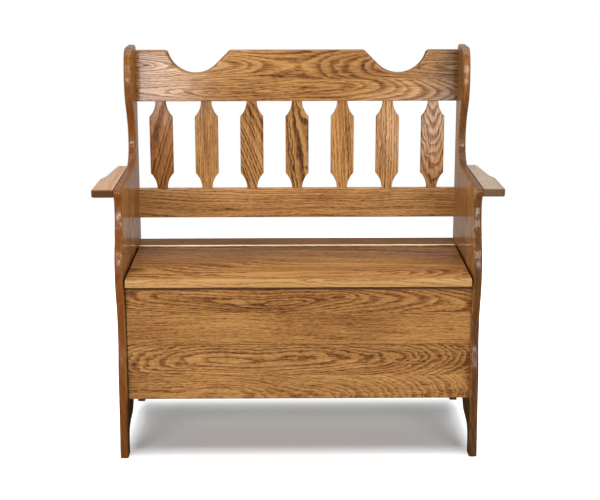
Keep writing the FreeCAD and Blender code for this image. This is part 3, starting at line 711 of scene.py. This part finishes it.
# %% Dress the hidden pieces
softwood = (srgb(200, 158, 108), srgb(146, 100, 58))
veneer = (srgb(184, 134, 82), srgb(104, 64, 32))
beech_browns = (srgb(222, 190, 148), srgb(190, 150, 104))
for name in nodes:
    if softwood_cut(name):
        cut, first_seed = softwood_cut(name)
        seed = first_seed + len(name)
        dress(name, plain_wood("softwood_" + name, name, cut, *softwood, 0.004, 0.5, seed))
dress("back_panel", plain_wood("oak_veneer_back", "back_panel", "rail", *veneer, 0.0036, 0.42, 260.0))
dress("bottom_panel", plain_wood("oak_veneer_floor", "bottom_panel", "seat", *veneer, 0.0036, 0.5, 271.0))
beech = plain_wood("beech", "crest_rail_dowels", "rail", *beech_browns, 0.003, 0.5, 280.0)
for name in nodes:
    if name.endswith("dowels"):
        dress(name, beech)
print("materials so far:", len(bpy.data.materials))

# %% [markdown]
# ## Brass and steel
# The continuous hinge is brass-plated steel. Metal has no colour of its own beside its
# reflection, so its base colour tints the light, and a fine uneven roughness breaks the
# mirror where hands and cloths have rubbed it. The screws are zinc plated, a cool grey.

# %% Metals
def metal(name, bright, dull, rough_low, rough_high, scale):
    material, tree, shader = new_material(name)
    place = add(tree, "ShaderNodeTexCoord").outputs["Object"]
    haze = noise(tree, place, 3.0, 0.6, scale)["Fac"]
    rubbed_along = vector_calc(tree, "MULTIPLY", place, (0.15, 4.0, 4.0))
    rub = noise(tree, rubbed_along, 2.0, 0.5, scale * 6)["Fac"]
    fill(tree, shader.inputs["Base Color"], mix_colour(tree, haze, bright, dull))
    shader.inputs["Metallic"].default_value = 1.0
    roughness = calc(tree, "MULTIPLY_ADD", rub, rough_high - rough_low, rough_low)
    fill(tree, shader.inputs["Roughness"], roughness)
    bump = add(tree, "ShaderNodeBump", {"Height": rub, "Strength": 0.15, "Distance": 0.0001})
    fill(tree, shader.inputs["Normal"], bump.outputs["Normal"])
    return material


brass = metal("brass_plate", srgb(244, 228, 190), srgb(224, 198, 150), 0.22, 0.42, 60.0)
zinc = metal("zinc_plate", srgb(206, 206, 202), srgb(168, 168, 166), 0.28, 0.45, 90.0)
for name in nodes:
    if name.startswith("hinge_"):
        dress(name, brass)
    elif name.endswith("screws"):
        dress(name, zinc)
finishes = ("oak", "softwood", "beech", "brass", "zinc")
undressed = [n for n, o in nodes.items() if not o.data.materials[0].name.startswith(finishes)]
print("nodes with no finish of their own:", undressed)

# %% [markdown]
# ## Floor
# The photograph's ground is plain white, with one soft grey shadow below the box. The floor
# is matt white paper. Around the bench the camera is shown an extra glow on it, so that it
# melts into the white world. Below the bench the glow falls to a faint, even one, so the
# shadow stays but isn't black at its far side. A polished board also mirrors the floor in
# front of it. In a studio the paper ends there and the room is dark, so glossy rays find the
# paper dark in front.

# %% The glow on the paper
def paper_glow(tree, parts):
    low, high = cad_box
    past_side = calc(tree, "SUBTRACT", calc(tree, "ABSOLUTE", parts["X"]), high[0] - 0.09)
    past_front = calc(tree, "SUBTRACT", low[1] + 0.075, parts["Y"])
    past_back = calc(tree, "SUBTRACT", parts["Y"], high[1] - 0.11)
    past_end = calc(tree, "MAXIMUM", past_front, calc(tree, "MULTIPLY", past_back, 0.65))
    past_side = calc(tree, "MAXIMUM", calc(tree, "MULTIPLY", past_side, 1.6), 0.0)
    away = combined(tree, past_side, calc(tree, "MAXIMUM", past_end, 0.0))
    away = calc(tree, "MULTIPLY", vector_calc(tree, "LENGTH", away), 9.0)
    rim_glow = ramp(tree, away, [(0.0, 0.0), (0.3, 0.14), (1.0, 1.0)])
    deep_in = slope(tree, parts["Y"], 3.0, -3.0 * low[1])
    return mix_colour(tree, deep_in, rim_glow, (0.130, 0.157, 0.160, 1), "ADD")


print("the bench's outline on the floor:", [tuple(round(v, 3) for v in c[:2]) for c in cad_box])

# %% Floor
def make_floor():
    mesh = bpy.data.meshes.new("studio_floor")
    corners = [(-4, -6, 0), (4, -6, 0), (4, 2.2, 0), (-4, 2.2, 0)]
    mesh.from_pydata(corners, [], [(0, 1, 2, 3)])
    floor = bpy.data.objects.new("studio_floor", mesh)
    bpy.context.scene.collection.objects.link(floor)
    material = bpy.data.materials.new("floor_paper")
    material.use_nodes = True
    tree = material.node_tree
    tree.nodes.clear()
    seen = add(tree, "ShaderNodeLightPath").outputs
    parts = separated(tree, add(tree, "ShaderNodeTexCoord").outputs["Object"])
    glow = paper_glow(tree, parts)
    far_behind = slope(tree, parts["Y"], 2.0, -1.8)
    mirrored = mix_colour(tree, far_behind, (0.03, 0.03, 0.03, 1), (0.34, 0.32, 0.30, 1))
    paper_colour = mix_colour(tree, seen["Is Glossy Ray"], (0.84, 0.84, 0.84, 1), mirrored)
    paper = add(tree, "ShaderNodeBsdfDiffuse", {"Color": paper_colour})
    light = add(tree, "ShaderNodeEmission", {"Color": glow, "Strength": seen["Is Camera Ray"]})
    both = add(tree, "ShaderNodeAddShader", {0: paper.outputs[0], 1: light.outputs[0]})
    output = add(tree, "ShaderNodeOutputMaterial")
    tree.links.new(both.outputs[0], output.inputs["Surface"])
    mesh.materials.append(material)
    return floor


floor = make_floor()
print("floor is", round(floor.dimensions.x), "m wide")

# %% [markdown]
# ## Light
# Two soft lamps stand low in front, on both sides of the camera, and a larger one hangs
# overhead and a little behind the middle for the lid, the arms and the floor. Three small pale
# cards near the lens are only there to be mirrored: one gives the sheen at the left end of the
# crest rail, one the sheen of the last slats, and one a faint sheen at the crest's right end.

# %% Lamps
middle = (0.0, 0.0, 0.5)
LAMPS = {
    # place, what it is aimed at, width and height in metres, power in watts
    "soft_left": ((-1.6, -3.2, 1.60), middle, 1.5, 0.9, 40.0),
    "soft_right": ((1.5, -3.2, 1.55), middle, 1.5, 0.9, 36.0),
    "overhead": ((0.0, 0.20, 3.3), (0.0, 0.0, 0.3), 4.5, 3.2, 108.0),
    "sheen_card_left": ((-0.66, -2.3, 0.62), (-0.3, 0.2, 0.9), 0.42, 0.34, 6.0),
    "sheen_card_low": ((0.62, -2.3, 0.39), (0.35, 0.2, 0.72), 0.40, 0.26, 2.4),
    "sheen_card_right": ((0.72, -2.3, 0.62), (0.35, 0.2, 0.9), 0.30, 0.34, 0.6),
}


def hang_lamp(name, place, target, width, height, power):
    data = bpy.data.lights.new(name, "AREA")
    data.shape = "RECTANGLE"
    data.size = width
    data.size_y = height
    data.energy = power
    light = bpy.data.objects.new(name, data)
    bpy.context.scene.collection.objects.link(light)
    light.location = place
    light.rotation_euler = (Vector(target) - Vector(place)).to_track_quat("-Z", "Y").to_euler()


for name, setup in LAMPS.items():
    hang_lamp(name, *setup)

# %% [markdown]
# ## World
# The world is white where the camera looks into it. A glossy surface mirrors what is behind
# the bench, which is a warm white that fades toward the ground, and finds the room in front
# dark. As a light the world is dim, because the lamps do that work.

# %% World
def make_world():
    world = bpy.data.worlds.new("studio")
    bpy.context.scene.world = world
    world.use_nodes = True
    tree = world.node_tree
    tree.nodes.clear()
    seen = add(tree, "ShaderNodeLightPath").outputs
    by_camera, by_gloss = seen["Is Camera Ray"], seen["Is Glossy Ray"]
    direction = separated(tree, add(tree, "ShaderNodeTexCoord").outputs["Generated"])
    behind = slope(tree, direction["Y"], 2.5, 0.05)
    height = slope(tree, direction["Z"], 2.6, 0.35)
    mirrored = calc(tree, "MULTIPLY", behind, calc(tree, "MAXIMUM", height, 0.40))
    ceiling = calc(tree, "MULTIPLY", direction["Z"], 0.15)
    mirrored = calc(tree, "MAXIMUM", mirrored, ceiling)
    plain = calc(tree, "SUBTRACT", 1.0, calc(tree, "MAXIMUM", by_gloss, by_camera))
    strength = calc(tree, "MULTIPLY", by_gloss, mirrored)
    strength = calc(tree, "MULTIPLY_ADD", plain, 0.27, strength)
    strength = calc(tree, "ADD", strength, by_camera)
    colour = mix_colour(tree, by_gloss, (1, 1, 1, 1), (1, 0.93, 0.85, 1))
    sky = add(tree, "ShaderNodeBackground", {"Color": colour, "Strength": strength})
    output = add(tree, "ShaderNodeOutputWorld")
    tree.links.new(sky.outputs[0], output.inputs["Surface"])
    return world


make_world()
bpy.context.scene.view_settings.view_transform = "Standard"
print("world:", bpy.context.scene.world.name)
